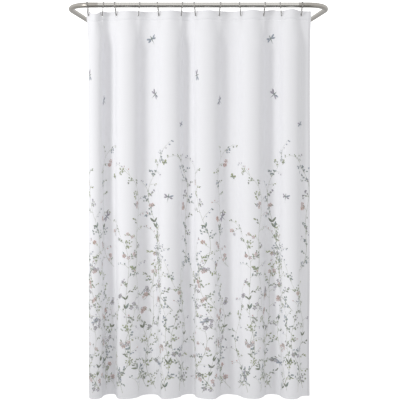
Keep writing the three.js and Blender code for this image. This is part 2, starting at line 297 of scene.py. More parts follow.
def selectOnly(thing):
    deselect()
    thing.select_set(True)
    bpy.context.view_layer.objects.active = thing


def applied(thing, kind, **settings):
    selectOnly(thing)
    modifier = thing.modifiers.new(kind.title(), kind)
    for key, value in settings.items():
        setattr(modifier, key, value)
    bpy.ops.object.modifier_apply(modifier=modifier.name)


def meshPiece(name, corners, faces, material):
    mesh = bpy.data.meshes.new(name)
    mesh.from_pydata(corners, [], faces)
    mesh.materials.append(material)
    piece = bpy.data.objects.new(name, mesh)
    bpy.context.scene.collection.objects.link(piece)
    return piece


# Runs mesh operators on the whole of the active mesh
def edited(*operators):
    bpy.ops.object.mode_set(mode="EDIT")
    bpy.ops.mesh.select_all(action="SELECT")
    for operator, settings in operators:
        operator(**settings)
    bpy.ops.object.mode_set(mode="OBJECT")


# Joins corners that lie on each other and turns every face outwards
def sealActive():
    edited(
        (bpy.ops.mesh.remove_doubles, {"threshold": 1e-6}),
        (bpy.ops.mesh.normals_make_consistent, {"inside": False}),
    )


def smooth(piece, degrees=40):
    selectOnly(piece)
    bpy.ops.object.shade_smooth_by_angle(angle=math.radians(degrees))


def belongs(piece, body, slot, *nodes):
    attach(piece, body)
    if nodes:
        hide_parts(*nodes)


# The rod: a front run and two returns with a bend each
rod = {
    "diameter": 0.0254,
    "wall": 0.0012,
    "bendAlongX": 0.117,
    "bendAlongY": 0.340,
    "bendSteps": 40,
    "sides": 48,
}
rodLow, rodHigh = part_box("rod_front")
rodY = (rodLow.y + rodHigh.y) / 2
rodZ = (rodLow.z + rodHigh.z) / 2


# A round wire or tube along a list of points, as a mesh. radii swell or thin it.
def tubeAlong(name, points, radius, sides, caps, material, radii=None):
    curve = bpy.data.curves.new(name, "CURVE")
    curve.dimensions = "3D"
    curve.bevel_depth = radius
    curve.bevel_resolution = sides // 4 - 1 if sides > 4 else 0
    curve.use_fill_caps = caps
    spline = curve.splines.new("POLY")
    spline.points.add(len(points) - 1)
    for index, point in enumerate(points):
        spline.points[index].co = (*point, 1)
        spline.points[index].radius = radii[index] if radii else 1
    thing = bpy.data.objects.new(name, curve)
    bpy.context.scene.collection.objects.link(thing)
    selectOnly(thing)
    bpy.ops.object.convert(target="MESH")
    piece = bpy.context.object
    piece.name = name
    sealActive()
    piece.data.materials.clear()
    piece.data.materials.append(material)
    return piece


def hollowTube(name, points, material):
    piece = tubeAlong(name, points, rod["diameter"] / 2, rod["sides"], False, material)
    applied(piece, "SOLIDIFY", thickness=rod["wall"], offset=-1, use_even_offset=True)
    smooth(piece, 40)
    return piece


def returnPoints(side, node):
    low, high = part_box(node)
    start = min(abs(low.x), abs(high.x))
    end = max(abs(low.x), abs(high.x)) - rod["diameter"] / 2
    wallEnd = high.y
    straightX = end - rod["bendAlongX"]
    points = [(side * start, rodY, rodZ)]
    for step in range(rod["bendSteps"] + 1):
        angle = step / rod["bendSteps"] * math.pi / 2
        x = straightX + rod["bendAlongX"] * math.sin(angle)
        y = rodY + rod["bendAlongY"] * (1 - math.cos(angle))
        points.append((side * x, y, rodZ))
    points.append((side * end, wallEnd, rodZ))
    return points


def addRod():
    finish = brushedFinish(
        "brushed_nickel", paint(244, 242, 237), paint(200, 198, 192), 0.24, (900, 30, 30)
    )
    # The returns wear a darker copy of the same brushed nickel: painted shade on the bends
    returnPaintedShadeFinish = brushedFinish(
        "brushed_nickel_return_painted_shade", paint(206, 202, 195), paint(160, 156, 149), 0.4, (30, 900, 30)
    )
    front = hollowTube("rodFront", [(rodLow.x, rodY, rodZ), (rodHigh.x, rodY, rodZ)], finish)
    belongs(front, "rod", "rod_nickel", "rod_front")
    for side, place in ((-1, "left"), (1, "right")):
        node = "rod_return_" + place
        piece = hollowTube("rodReturn" + place.title(), returnPoints(side, node), returnPaintedShadeFinish)
        belongs(piece, "rod", "rod_nickel", node)


# The dome over each wall bracket
cover = {"lip": 0.003, "wall": 0.0012, "neck": 0.0264, "steps": 14, "sides": 72, "edge": 0.0007}


# Half of a section through the cover: radius and distance from the wall, from its rim out to its neck
def coverProfile(rim, depth):
    neck, wall, lip = cover["neck"] / 2, cover["wall"], cover["lip"]

    def dome(step, inset):
        angle = step / cover["steps"] * math.pi / 2
        radius = neck + wall + (rim - neck - wall - inset) * math.cos(angle)
        return radius, lip + (depth - lip - inset) * math.sin(angle)

    profile = [(rim, 0), (rim, lip)]
    profile += [dome(step, 0) for step in range(1, cover["steps"] + 1)]
    profile += [(neck, depth), (neck, depth - wall)]
    profile += [dome(step, wall) for step in range(cover["steps"] - 1, -1, -1)]
    profile.append((rim - wall, 0))
    return profile


# A ring drawn round a profile of (radius, distance from the wall), closed on itself
def turnedShell(name, profile, x, z, sides):
    deselect()
    first = profile[0]
    bpy.ops.mesh.primitive_circle_add(
        vertices=sides, radius=first[0], location=(x, -first[1], z), rotation=(math.pi / 2, 0, 0)
    )
    piece = bpy.context.object
    piece.name = name
    bpy.ops.object.transform_apply(location=True, rotation=True, scale=True)
    bpy.ops.object.mode_set(mode="EDIT")
    bpy.ops.mesh.select_all(action="SELECT")
    radius, away = first
    for nextRadius, nextAway in profile[1:] + [first]:
        bpy.ops.mesh.extrude_region_move(TRANSFORM_OT_translate={"value": (0, away - nextAway, 0)})
        share = nextRadius / radius
        bpy.ops.transform.resize(value=(share, 1, share), center_override=(x, -nextAway, z))
        radius, away = nextRadius, nextAway
    bpy.ops.object.mode_set(mode="OBJECT")
    sealActive()
    return piece


def addCovers():
    finish = brushedFinish(
        "cover_nickel", paint(222, 220, 214), paint(170, 168, 162), 0.28, (260, 40, 260)
    )
    for place in ("left", "right"):
        node = "flange_cover_" + place
        low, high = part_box(node)
        middle = (low.x + high.x) / 2
        profile = coverProfile((high.z - low.z) / 2, high.y - low.y)
        piece = turnedShell("flangeCover" + place.title(), profile, middle, rodZ, cover["sides"])
        applied(piece, "BEVEL", width=cover["edge"] / 2, segments=2, limit_method="ANGLE")
        piece.data.materials.append(finish)
        smooth(piece, 35)
        belongs(piece, "rod", "cover_nickel", node)


# The brackets, sleeves and screws keep their CAD shapes
def finishFittings():
    zinc = metalFinish("cast_zinc", paint(170, 173, 177), paint(128, 131, 136), 0.48, 120.0)
    sleeve = metalFinish("sleeve_steel", paint(186, 188, 191), paint(140, 142, 146), 0.42, 60.0)
    screw = metalFinish("screw_steel", paint(176, 178, 182), paint(120, 123, 128), 0.36, 240.0)
    for name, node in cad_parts.items():
        if name.startswith("wall_bracket"):
            look = zinc
        elif name.startswith("rod_coupler"):
            look = sleeve
        elif "screw" in name:
            look = screw
        else:
            continue
        node.data.materials.clear()
        node.data.materials.append(look)


# The wire hooks. Every second one turns and leans the other way.
hook = {
    "count": 12,
    "wire": 0.004,
    "loop": 0.018,
    "toe": 0.0064,
    "gap": 0.003,
    "turn": 5,
    "lean": 0.0035,
    "steps": 72,
    "sides": 12,
}
hookNodes = [f"hook_{index + 1:02d}" for index in range(hook["count"])]
hookX = [sum(corner.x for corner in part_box(node)) / 2 for node in hookNodes]
hookLean = [hook["lean"] * (1 if index % 2 == 0 else -1) for index in range(hook["count"])]


# A pear of wire: over the rod, down the front, round the toe and up the back. It is open at the back.
def hookPoints(low, high):
    radius = hook["wire"] / 2
    loopZ = high - radius - hook["loop"]
    toeZ = low + radius + hook["toe"]
    lean = math.asin((hook["loop"] - hook["toe"]) / (loopZ - toeZ))
    leg = (loopZ - toeZ) * math.cos(lean)
    loopArc = hook["loop"] * (math.pi + 2 * lean)
    toeArc = hook["toe"] * (math.pi - 2 * lean)
    whole = loopArc + toeArc + 2 * leg - hook["gap"]
    front = math.pi + lean
    points = []
    for step in range(hook["steps"] + 1):
        s = step / hook["steps"] * whole
        if s <= loopArc:
            angle = s / hook["loop"] - lean
            y, z = hook["loop"] * math.cos(angle), loopZ + hook["loop"] * math.sin(angle)
        elif s <= loopArc + leg:
            s -= loopArc
            y = hook["loop"] * math.cos(front) - s * math.sin(front)
            z = loopZ + hook["loop"] * math.sin(front) + s * math.cos(front)
        elif s <= loopArc + leg + toeArc:
            angle = front + (s - loopArc - leg) / hook["toe"]
            y, z = hook["toe"] * math.cos(angle), toeZ + hook["toe"] * math.sin(angle)
        else:
            s -= loopArc + leg + toeArc
            y = hook["toe"] * math.cos(lean) + s * math.sin(lean)
            z = toeZ - hook["toe"] * math.sin(lean) + s * math.cos(lean)
        points.append((y, z))
    return points


def addHooks():
    finish = metalFinish("hook_wire", paint(188, 186, 182), paint(142, 140, 136), 0.26, 300.0)
    radii = [1.0] * (hook["steps"] + 1)
    for index, share in enumerate((0.35, 0.8)):
        radii[index] = share
        radii[-1 - index] = share
    for index, node in enumerate(hookNodes):
        low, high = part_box(node)
        turn = math.radians(-hook["turn"] if index % 2 == 0 else hook["turn"])
        points = []
        for y, z in hookPoints(low.z, high.z):
            x = hookX[index] + hookLean[index] * (2 * (high.z - z) / (high.z - low.z) - 1)
            points.append((x - y * math.sin(turn), rodY + y * math.cos(turn), z))
        name = f"hook{index + 1:02d}"
        piece = tubeAlong(name, points, hook["wire"] / 2, hook["sides"], True, finish, radii)
        smooth(piece, 60)
        belongs(piece, "curtain" if index == 0 else node, "hook_wire", node)


# The cloth, from its flat size to how it hangs
curtain = {
    "width": 1.778,
    "height": 1.829,
    "margin": 0.0508,
    "holeSpacing": 0.1524,
    "thickness": 0.0004,
    "slotWide": 0.0060,
    "slotTop": 0.0109,
    "slotBottom": 0.0254,
    "columnsInGap": 22,
    "columnsInTail": 7,
    "bodyRows": 112,
    "header": 0.045,
    "bottomHem": 0.025,
    "sideHem": 0.012,
    "leftTail": 104,
    "tailTurn": 0.24,
    "rightTail": (0.048, 0.015),
    "rightHeading": 0.2,
    "rightEase": 0.012,
    "flatAtTop": 0.8,
    "headerReach": 0.16,
    "headerFlat": 0.4,
    "grooveWide": 0.0045,
    "grooveDeep": 0.0024,
    "cornerLift": 0.009,
    "cornerReach": 0.04,
    "edgeFade": 0.10,
    "flare": 0.0075,
    "halfHung": 0.53,
    "leanFrom": 0.75,
    "looseFrom": 0.05,
    "looseReach": 0.6,
    # slow waviness, sideways then to the front: how much all over, and how much more low down
    "sway": (0.0022, 0.003),
    "billow": (0.0035, 0.004),
    "steepest": 1.25,
    "depth": 0.58,
    "depthBelow": 0.42,
}
# How far each fold leans sideways at the bottom, from the first gap to the last
foldLean = [-0.004, 0.006, -0.020, 0.010, -0.020, 0.008, 0.019, -0.008, 0.006, -0.006, 0.004]
# How far the top edge drops in the middle of each gap
edgeDrop = [0.016, 0.004, -0.001, 0.002, -0.004, 0.002, -0.005, 0.0, -0.007, -0.008, -0.011]

panelLow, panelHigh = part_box("curtain_panel")
holeU = [curtain["margin"] + curtain["holeSpacing"] * index for index in range(hook["count"])]
# The leaning hooks hold the cloth a little to one side of their own middles
heldX = [hookX[index] + hookLean[index] * 0.9 for index in range(hook["count"])]
hookGaps = [heldX[index + 1] - heldX[index] for index in range(hook["count"] - 1)]


def softStep(value):
    value = np.clip(value, 0, 1)
    return value * value * (3 - 2 * value)


# The value between low and high where a falling function reaches a target
def solved(function, target, low, high):
    for _ in range(50):
        middle = (low + high) / 2
        if function(middle) > target:
            low = middle
        else:
            high = middle
    return (low + high) / 2


# The steepest angle of a fold that takes up the cloth between two hooks, as a river's bend does
def foldAngle(gap):
    share = (np.arange(200) + 0.5) / 200
    reach = lambda angle: float(np.cos(angle * np.cos(math.pi * share)).mean())
    return solved(reach, gap / curtain["holeSpacing"], 0.0, 2.4)


# The cloth's line from above where it hangs free: s is measured along the cloth
def freeLine(s):
    angles = [min(foldAngle(gap), curtain["steepest"]) for gap in hookGaps]
    middles = [(holeU[index] + holeU[index + 1]) / 2 for index in range(len(angles))]
    steepness = np.interp(s, middles, angles)
    turns = (s - holeU[0]) / curtain["holeSpacing"]
    heading = -steepness * np.cos(math.pi * turns)
    heading = np.where(s < holeU[0], -steepness[0] - curtain["tailTurn"], heading)
    last = holeU[-1]
    after = np.exp(-np.clip(s - last, 0, None) / curtain["rightEase"])
    endHeading = float(np.interp(last, s, heading))
    right = curtain["rightHeading"]
    heading = np.where(s > last, right + (endHeading - right) * after, heading)
    step = s[1] - s[0]
    x = np.concatenate(([0], np.cumsum(np.cos(heading[:-1]) * step)))
    y = np.concatenate(([0], np.cumsum(np.sin(heading[:-1]) * step)))
    x += np.interp(s, holeU, np.array(heldX) - np.interp(holeU, s, x))
    y -= np.interp(s, holeU, np.interp(holeU, s, y))
    return x, y


# The line at the holes, where the cloth leaves each hook more squarely
def hookLine(s):
    x = np.zeros_like(s)
    y = np.zeros_like(s)
    share = np.linspace(0, 1, 400)
    bell = (1 - np.cos(2 * math.pi * share)) / 2
    for index, gap in enumerate(hookGaps):
        spare = lambda height: -np.hypot(np.diff(share * gap), np.diff(bell * height)).sum()
        height = solved(spare, -curtain["holeSpacing"], 0.0, 0.15)
        along = np.concatenate(([0], np.hypot(np.diff(share * gap), np.diff(bell * height)).cumsum()))
        here = (s >= holeU[index]) & (s <= holeU[index + 1])
        at = np.interp((s[here] - holeU[index]) / curtain["holeSpacing"], along / along[-1], share)
        way = -1 if index % 2 == 0 else 1
        x[here] = heldX[index] + gap * at
        y[here] = way * height * np.interp(at, share, bell)
    left = s < holeU[0]
    turn = math.radians(curtain["leftTail"])
    x[left] = heldX[0] + (holeU[0] - s[left]) * math.cos(turn)
    y[left] = (holeU[0] - s[left]) * math.sin(turn)
    right = s > holeU[-1]
    share = (s[right] - holeU[-1]) / curtain["margin"]
    x[right] = heldX[-1] + curtain["rightTail"][0] * share
    y[right] = curtain["rightTail"][1] * np.sin(share * math.pi / 2)
    return x, y


# A slow wander made of a few waves, the same each run
def wander(u, v, seed, waves=5):
    draw = random.Random(seed)
    total = np.zeros_like(u)
    for _ in range(waves):
        across = draw.uniform(4, 16)
        down = draw.uniform(0.8, 4.5)
        phase = draw.uniform(0, 2 * math.pi)
        total += np.sin(across * u * 2 + down * v * 2 + phase) / waves
    return total


def columnLines():
    half = curtain["slotWide"] / 2
    tail = curtain["columnsInTail"]
    lines = list(np.linspace(0, holeU[0] - half, tail + 1))
    for index, middle in enumerate(holeU[:-1]):
        end = holeU[index + 1] - half
        lines += list(np.linspace(middle + half, end, curtain["columnsInGap"] + 1))
    lines += list(np.linspace(holeU[-1] + half, curtain["width"], tail + 1))
    return np.array(lines)


def rowLines():
    top = curtain["slotTop"]
    bottom = curtain["slotBottom"]
    lines = list(np.linspace(0, top, 4)) + list(np.linspace(top, bottom, 5))[1:]
    lines += list(np.linspace(bottom, curtain["header"] + 0.006, 14))[1:]
    hemTop = curtain["height"] - curtain["bottomHem"]
    share = np.linspace(0, 1, curtain["bodyRows"] + 1)[1:]
    start = lines[-1]
    lines += list(start + (hemTop - start) * (0.35 * share ** 1.8 + 0.65 * share))
    lines += list(np.linspace(hemTop, curtain["height"], 6))[1:]
    return np.array(lines)


# Every point of the cloth's middle surface, row by row
def clothGrid(columns, rows):
    s = np.linspace(0, curtain["width"], 3557)
    freeX, freeY = (np.interp(columns, s, line) for line in freeLine(s))
    heldX, heldY = (np.interp(columns, s, line) for line in hookLine(s))
    u, v = np.meshgrid(columns, rows)
    held = curtain["flatAtTop"] * (1 - softStep(v / curtain["headerReach"]))
    x = held * heldX + (1 - held) * freeX
    y = held * heldY + (1 - held) * freeY

    low = softStep((v - curtain["leanFrom"]) / (curtain["height"] - curtain["leanFrom"]))
    turns = np.clip((u - holeU[0]) / curtain["holeSpacing"], 0, len(hookGaps) - 1e-6)
    index = turns.astype(int)
    bulge = np.sin(math.pi * (turns - index)) ** 2
    lean = np.array(foldLean)[index] * bulge
    middle = (heldX[0] + heldX[-1]) / 2
    x += low * lean + curtain["flare"] * v / curtain["height"] * (x - middle) / curtain["halfHung"]
    loose = softStep((v - curtain["looseFrom"]) / curtain["looseReach"])
    sway, billow = curtain["sway"], curtain["billow"]
    x += sway[0] * loose * wander(u, v, 3) + sway[1] * low * wander(u, v, 5)
    y += billow[0] * loose * wander(u, v, 8) + billow[1] * low * wander(u, v, 13)
    stiff = 1 - softStep((v - curtain["header"]) / curtain["headerReach"])
    depth = curtain["depth"] * (1 + curtain["depthBelow"] * low - curtain["headerFlat"] * stiff)
    groove = np.exp(-(((v - curtain["header"] + 0.003) / curtain["grooveWide"]) ** 2))
    y = rodY + y * depth + curtain["grooveDeep"] * groove

    middles = [(holeU[k] + holeU[k + 1]) / 2 for k in range(len(edgeDrop))]
    stations = sorted(holeU + middles)
    drops = [edgeDrop[k // 2] if k % 2 else 0.0 for k in range(len(stations))]
    fine = np.linspace(0, curtain["width"], 800)
    wave = np.interp(fine, stations, drops)
    soft = np.hanning(41) / np.hanning(41).sum()
    wave = np.convolve(np.pad(wave, 20, mode="edge"), soft, mode="valid")
    z = panelHigh.z - v - np.interp(u, fine, wave) * np.exp(-v / curtain["edgeFade"])
    z += curtain["cornerLift"] * low * np.exp(-u / curtain["cornerReach"])
    return np.stack([x, y, z], axis=-1)


class Cloth:
    def __init__(self):
        self.columns = columnLines()
        self.rows = rowLines()
        self.points = clothGrid(self.columns, self.rows)
        self.findNormals()

    # The front of the cloth is the side that its normals point to
    def findNormals(self):
        down = np.gradient(self.points, self.rows, axis=0)
        across = np.gradient(self.points, self.columns, axis=1)
        normals = np.cross(down, across)
        self.normals = normals / np.linalg.norm(normals, axis=-1, keepdims=True)

    # Places on the hung cloth for flat places (across, down), lifted off its middle towards the front
    def hung(self, across, down, lift):
        across = np.clip(np.asarray(across, float), 0, curtain["width"] - 1e-6)
        down = np.clip(np.asarray(down, float), 0, curtain["height"] - 1e-6)
        i = np.clip(np.searchsorted(self.columns, across, "right") - 1, 0, len(self.columns) - 2)
        j = np.clip(np.searchsorted(self.rows, down, "right") - 1, 0, len(self.rows) - 2)
        a = ((across - self.columns[i]) / (self.columns[i + 1] - self.columns[i]))[..., None]
        d = ((down - self.rows[j]) / (self.rows[j + 1] - self.rows[j]))[..., None]

        def blended(field):
            upper = field[j, i] * (1 - a) + field[j, i + 1] * a
            lower = field[j + 1, i] * (1 - a) + field[j + 1, i + 1] * a
            return upper * (1 - d) + lower * d

        normal = blended(self.normals)
        normal /= np.linalg.norm(normal, axis=-1, keepdims=True)
        return blended(self.points) + normal * np.asarray(lift, float)[..., None]


def inSlot(across, down):
    nearest = min(abs(across - middle) for middle in holeU)
    tall = curtain["slotTop"] < down < curtain["slotBottom"]
    return nearest < curtain["slotWide"] / 2 and tall


# Part of the cloth's grid as a closed sheet, lifted off the cloth's middle and with its buttonholes open
def clothSheet(cloth, name, across, down, lift, thickness, material):
    inside = lambda lines, ends: np.concatenate(
        ([ends[0]], lines[(lines > ends[0] + 5e-4) & (lines < ends[1] - 5e-4)], [ends[1]])
    )
    columns = inside(cloth.columns, across)
    rows = inside(cloth.rows, down)
    u, v = np.meshgrid(columns, rows)
    places = cloth.hung(u, v, np.full(u.shape, lift)).reshape(-1, 3)
    wide = len(columns)
    faces = []
    for j in range(len(rows) - 1):
        for i in range(wide - 1):
            if inSlot((columns[i] + columns[i + 1]) / 2, (rows[j] + rows[j + 1]) / 2):
                continue
            a = j * wide + i
            faces.append((a, a + wide, a + wide + 1, a + 1))
    piece = meshPiece(name, places.tolist(), faces, material)
    layer = piece.data.uv_layers.new(name="flatCloth")
    flatU = (u / curtain["width"]).ravel()
    flatV = (1 - v / curtain["height"]).ravel()
    corners = np.empty(len(piece.data.loops), np.int32)
    piece.data.loops.foreach_get("vertex_index", corners)
    layer.data.foreach_set("uv", np.stack([flatU[corners], flatV[corners]], -1).ravel())
    selectOnly(piece)
    edited((bpy.ops.mesh.delete_loose, {}))
    applied(piece, "SOLIDIFY", thickness=thickness, offset=0, use_even_offset=True)
    piece.data.polygons.foreach_set("use_smooth", [True] * len(piece.data.polygons))
    smooth(piece, 50)
    return piece


# Things drawn or sewn on the cloth, gathered into one mesh
class Batch:
    def __init__(self, cloth):
        self.cloth = cloth
        self.count = 0
        self.flat = []
        self.lifts = []
        self.inks = []
        self.faces = []

    def add(self, places, lifts, inks, faces):
        places = np.asarray(places, float)
        low, high = places.min(axis=0), places.max(axis=0)
        if low[0] < 0.003 or high[0] > curtain["width"] - 0.003:
            return
        if low[1] < 0.003 or high[1] > curtain["height"] - 0.003:
            return
        start = self.count
        self.flat.append(places)
        self.lifts.append(np.asarray(lifts, float))
        self.inks.append(np.asarray(inks, float))
        self.faces += [tuple(start + corner for corner in face) for face in faces]
        self.count += len(places)

    def made(self, name, material):
        flat = np.concatenate(self.flat)
        places = self.cloth.hung(flat[:, 0], flat[:, 1], np.concatenate(self.lifts))
        piece = meshPiece(name, places.tolist(), self.faces, material)
        inks = np.concatenate(self.inks)
        if len(inks) == len(places):
            layer = piece.data.attributes.new("ink", "FLOAT_COLOR", "POINT")
            layer.data.foreach_set("color", inks.astype(np.float32).ravel())
        piece.data.polygons.foreach_set("use_smooth", [True] * len(piece.data.polygons))
        return piece


# How far ink stands off the cloth, and its colours
ink = {
    "edgeLift": 0.00030,
    "middleLift": 0.00056,
    "backLift": 0.00021,
    "rib": 0.86,
    "olive": paint(92, 106, 72),
    "sage": paint(132, 148, 112),
    "teal": paint(104, 126, 116),
    "moss": paint(148, 158, 98),
    "mauve": paint(158, 150, 166),
    "rose": paint(204, 166, 162),
    "coral": paint(204, 158, 144),
    "bluegrey": paint(138, 150, 166),
    "straw": paint(212, 208, 164),
    "stemGreen": paint(152, 160, 126),
}


plant = {
    "step": 0.0055,
    "sway": 17,
    "stem": 0.0016,
    "sprigStem": 0.0012,
    "twig": 0.0011,
    "leaf": (0.011, 0.018),
    "tipLeaf": (0.010, 0.015),
    "flowerLeaf": (0.011, 0.017),
    "pairLeaf": (0.024, 0.034),
    "bud": (0.0075, 0.0110),
    "budReach": (0.003, 0.006),
    "flower": (0.014, 0.021),
    "spray": (0.025, 0.045),
    "sprig": (0.03, 0.08),
    "lastSprig": (0.05, 0.08),
    "pairsBelow": 0.6,
    "pairChance": 0.12,
    "sprayChance": 0.45,
}


def shaded(colour, amount):
    return tuple(min(1.0, channel * amount) for channel in colour[:3]) + (1.0,)


# A leaf, petal or wing: from its base along a heading, wide in the middle, bent by a curl
def drawBlade(batch, base, heading, length, width, tones, stations=4, swell=0.45, curl=0.0):
    ribs, sides = [], []
    direction = heading
    place = np.array(base, float)
    step = length / (stations + 1)
    for station in range(1, stations + 1):
        direction = heading + curl * station / stations
        place = place + step * np.array([math.cos(direction), -math.sin(direction)])
        share = station / (stations + 1)
        bulk = math.sin(math.pi * share ** (math.log(0.5) / math.log(swell)))
        across = np.array([math.sin(direction), math.cos(direction)]) * width / 2 * bulk ** 0.8
        sides.append((place + across, place - across))
        ribs.append(place)
    tip = place + step * np.array([math.cos(direction), -math.sin(direction)])
    ring = [np.array(base, float)] + [pair[0] for pair in sides] + [tip]
    ring += [pair[1] for pair in reversed(sides)]
    places = ring + ribs + ribs
    lifts = [ink["edgeLift"]] * len(ring)
    lifts += [ink["middleLift"]] * stations + [ink["backLift"]] * stations
    count = len(ring)
    fars = [min(index, count - index) / (stations + 1) for index in range(count)]
    ribFars = [(station + 1) / (stations + 1) for station in range(stations)]
    dark, light = tones
    shades = [[d + (l - d) * far for d, l in zip(dark, light)] for far in fars]
    shades += [[ink["rib"] * (d + (l - d) * far) for d, l in zip(dark, light)] for far in ribFars * 2]
    faces = []
    for start, flip in ((count, False), (count + stations, True)):
        fan = []
        for station in range(stations + 1):
            near = start + station - 1 if station else 0
            far = start + station if station < stations else stations + 1
            one, two = station, station + 1
            other, another = (count - station) % count, count - station - 1
            fan.append([one, two, far, near])
            fan.append([near, far, another, other])
        for face in fan:
            face = [corner for k, corner in enumerate(face) if corner not in face[:k]]
            faces.append(face if flip else face[::-1])
    batch.add(places, lifts, shades, faces)


# A thin ribbon of ink along a line of flat places
def drawStem(batch, line, width, colour):
    line = np.array(line, float)
    along = np.gradient(line, axis=0)
    along /= np.linalg.norm(along, axis=1, keepdims=True)
    across = np.stack([-along[:, 1], along[:, 0]], axis=1)
    places, lifts, shades, faces = [], [], [], []
    count = len(line)
    for index in range(count):
        thin = width / 2 * (1 - 0.55 * index / count)
        for offset, lift in ((-1, "edgeLift"), (0, "middleLift"), (1, "edgeLift"), (0, "backLift")):
            places.append(line[index] + across[index] * thin * offset)
            lifts.append(ink[lift])
            shades.append(colour)
    for index in range(count - 1):
        for side in range(4):
            a = 4 * index + side
            b = 4 * index + (side + 1) % 4
            faces.append((a, b, b + 4, a + 4))
    faces.append((3, 2, 1, 0))
    faces.append(tuple(4 * (count - 1) + side for side in range(4)))
    batch.add(places, lifts, shades, faces)


# Flat places (across, down) of a growing stem. heading is up at 90 degrees, turn is its whole bend.
def grown(start, heading, length, turn, sway, draw):
    step = plant["step"]
    count = max(4, int(length / step))
    phase = draw.uniform(0, 6.28)
    places = [tuple(start)]
    headings = []
    x, y = start
    for index in range(count):
        share = index / count
        angle = math.radians(heading + turn * share + sway * math.sin(phase + share * 9))
        x += step * math.cos(angle)
        y -= step * math.sin(angle)
        places.append((x, y))
        headings.append(angle)
    headings.append(headings[-1])
    return places, headings


